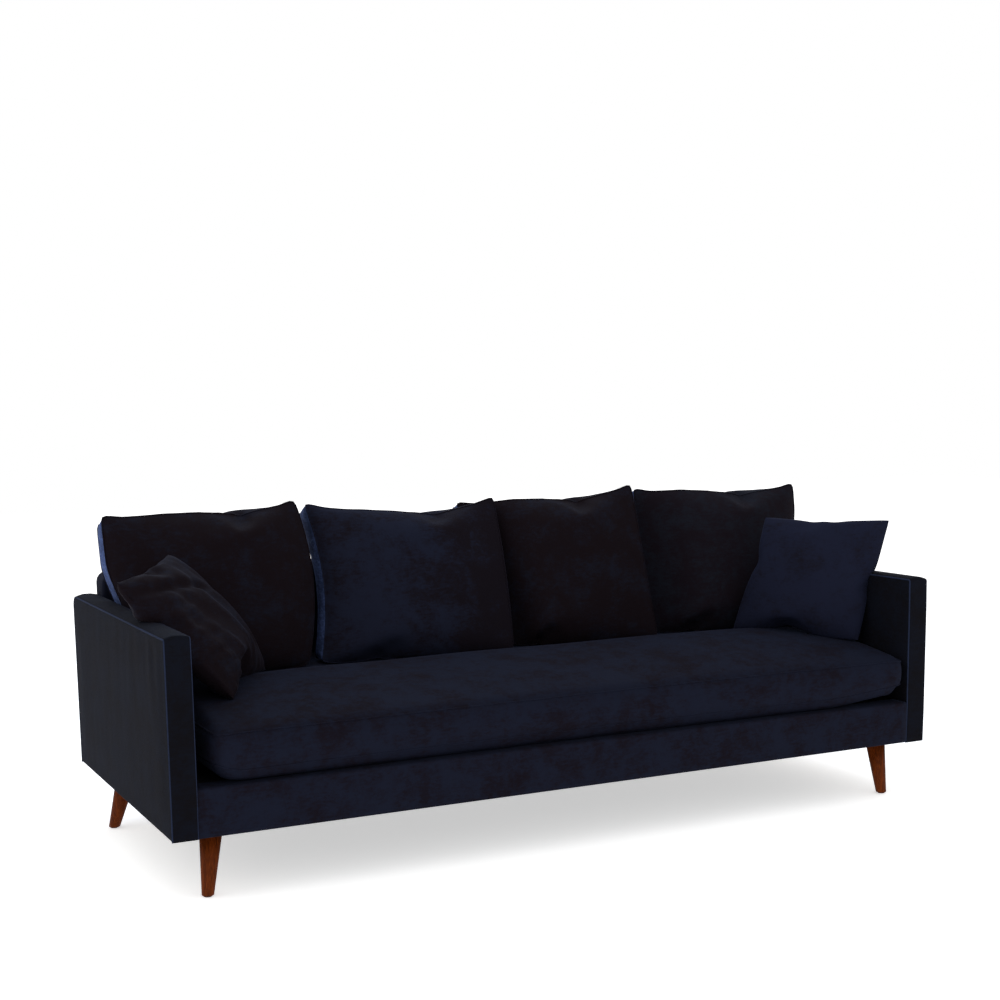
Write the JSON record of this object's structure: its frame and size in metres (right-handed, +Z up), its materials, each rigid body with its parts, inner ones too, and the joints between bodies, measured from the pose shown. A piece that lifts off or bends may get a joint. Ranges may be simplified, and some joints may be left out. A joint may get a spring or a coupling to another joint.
{
  "type": "sofa with wooden legs",
  "caption": "Long velvet sofa with slim square arms, one bench seat cushion, loose boxed back cushions, throw cushions and splayed turned wooden legs.",
  "frame": {"origin": "on the floor under the middle of the sofa's bounding box", "axes": "+X along the seat to a sitter's left (to the right as seen from the front), +Y from the front to the back, +Z up"},
  "size_m": [2.3, 1, 0.9083],
  "materials": {
    "navy_velvet": "matte",
    "walnut_leg": "satin",
    "frame_timber": "matte",
    "zinc_steel": "satin",
    "spring_steel": "satin",
    "felt_glide": "matte",
    "lining": "matte",
    "padding": "matte"
  },
  "bodies": {
    "frame": {"arm_bolt_left": "zinc_steel", "arm_bolt_right": "zinc_steel", "arm_left_bottom_rail": "frame_timber", "arm_left_cover": "navy_velvet", "arm_left_front_post": "frame_timber", "arm_left_rear_post": "frame_timber", "arm_left_top_rail": "frame_timber", "arm_right_bottom_rail": "frame_timber", "arm_right_cover": "navy_velvet", "arm_right_front_post": "frame_timber", "arm_right_rear_post": "frame_timber", "arm_right_top_rail": "frame_timber", "back_cover": "navy_velvet", "back_post_left": "frame_timber", "back_post_middle": "frame_timber", "back_post_right": "frame_timber", "back_top_rail": "frame_timber", "deck_pad": "padding", "dust_cover": "lining", "front_rail_cover": "navy_velvet", "glide_front_left": "felt_glide", "glide_front_right": "felt_glide", "glide_rear_left": "felt_glide", "glide_rear_right": "felt_glide", "hanger_bolt_front_left": "zinc_steel", "hanger_bolt_front_right": "zinc_steel", "hanger_bolt_rear_left": "zinc_steel", "hanger_bolt_rear_right": "zinc_steel", "leg_block_front_left": "frame_timber", "leg_block_front_right": "frame_timber", "leg_block_rear_left": "frame_timber", "leg_block_rear_right": "frame_timber", "leg_front_left": "walnut_leg", "leg_front_right": "walnut_leg", "leg_plate_front_left": "zinc_steel", "leg_plate_front_right": "zinc_steel", "leg_plate_rear_left": "zinc_steel", "leg_plate_rear_right": "zinc_steel", "leg_rear_left": "walnut_leg", "leg_rear_right": "walnut_leg", "rail_cross": "frame_timber", "rail_front": "frame_timber", "rail_left": "frame_timber", "rail_rear": "frame_timber", "rail_right": "frame_timber", "spring_1": "spring_steel", "spring_2": "spring_steel", "spring_3": "spring_steel", "spring_4": "spring_steel", "spring_5": "spring_steel", "spring_6": "spring_steel"},
    "seat_cushion": {"seat_cushion": "navy_velvet"},
    "back_cushion_1": {"back_cushion_1": "navy_velvet"},
    "back_cushion_2": {"back_cushion_2": "navy_velvet"},
    "back_cushion_3": {"back_cushion_3": "navy_velvet"},
    "back_cushion_4": {"back_cushion_4": "navy_velvet"},
    "throw_left": {"throw_left": "navy_velvet"},
    "throw_right": {"throw_right": "navy_velvet"}
  },
  "joints": [
    {"name": "seat_cushion_lift", "type": "slide", "parent": "frame", "child": "seat_cushion", "axis": [0, 0, 1], "range_m": [0, 0.2]},
    {"name": "back_cushion_1_lift", "type": "slide", "parent": "seat_cushion", "child": "back_cushion_1", "axis": [0, 0, 1], "range_m": [0, 0.3]},
    {"name": "back_cushion_2_lift", "type": "slide", "parent": "seat_cushion", "child": "back_cushion_2", "axis": [0, 0, 1], "range_m": [0, 0.3]},
    {"name": "back_cushion_3_lift", "type": "slide", "parent": "seat_cushion", "child": "back_cushion_3", "axis": [0, 0, 1], "range_m": [0, 0.3]},
    {"name": "back_cushion_4_lift", "type": "slide", "parent": "seat_cushion", "child": "back_cushion_4", "axis": [0, 0, 1], "range_m": [0, 0.3]},
    {"name": "throw_left_lift", "type": "slide", "parent": "seat_cushion", "child": "throw_left", "axis": [0, 0, 1], "range_m": [0, 0.3]},
    {"name": "throw_right_lift", "type": "slide", "parent": "seat_cushion", "child": "throw_right", "axis": [0, 0, 1], "range_m": [0, 0.3]}
  ]
}
